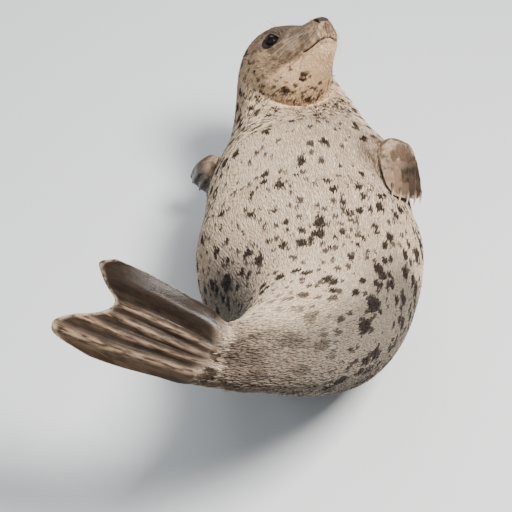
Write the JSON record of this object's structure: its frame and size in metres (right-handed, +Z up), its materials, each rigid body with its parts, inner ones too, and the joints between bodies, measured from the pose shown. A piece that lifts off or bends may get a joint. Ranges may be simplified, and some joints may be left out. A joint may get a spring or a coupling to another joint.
{
  "type": "spotted seal",
  "caption": "Life-size spotted seal lying on its back, head curled up and turned, hind flippers raised to one side; still display model",
  "frame": {"origin": "on the floor, at the flat of the back under the belly", "axes": "+X towards the animal's left side, +Y towards the head end, +Z up, out of the belly"},
  "size_m": [0.576, 0.9446, 0.5741],
  "materials": {
    "coat": "short wet fur, pale with dark spots",
    "flipper": "dark wet skin and short fur",
    "eye": "wet, glossy",
    "claw": "satin horn"
  },
  "bodies": {
    "root": {"belly": "coat", "chest": "coat", "eye_left": "eye", "eye_right": "eye", "fore_flipper_left": "flipper", "fore_flipper_left_claw_1": "claw", "fore_flipper_left_claw_2": "claw", "fore_flipper_left_claw_3": "claw", "fore_flipper_left_claw_4": "claw", "fore_flipper_left_claw_5": "claw", "fore_flipper_right": "flipper", "fore_flipper_right_claw_1": "claw", "fore_flipper_right_claw_2": "claw", "fore_flipper_right_claw_3": "claw", "fore_flipper_right_claw_4": "claw", "fore_flipper_right_claw_5": "claw", "head": "coat", "hind_flipper_left": "flipper", "hind_flipper_left_claw_1": "claw", "hind_flipper_left_claw_2": "claw", "hind_flipper_left_claw_3": "claw", "hind_flipper_left_claw_4": "claw", "hind_flipper_left_claw_5": "claw", "hind_flipper_right": "flipper", "hind_flipper_right_claw_1": "claw", "hind_flipper_right_claw_2": "claw", "hind_flipper_right_claw_3": "claw", "hind_flipper_right_claw_4": "claw", "hind_flipper_right_claw_5": "claw", "hips": "coat", "neck": "coat", "rump": "coat", "tail": "coat"}
  },
  "joints": []
}
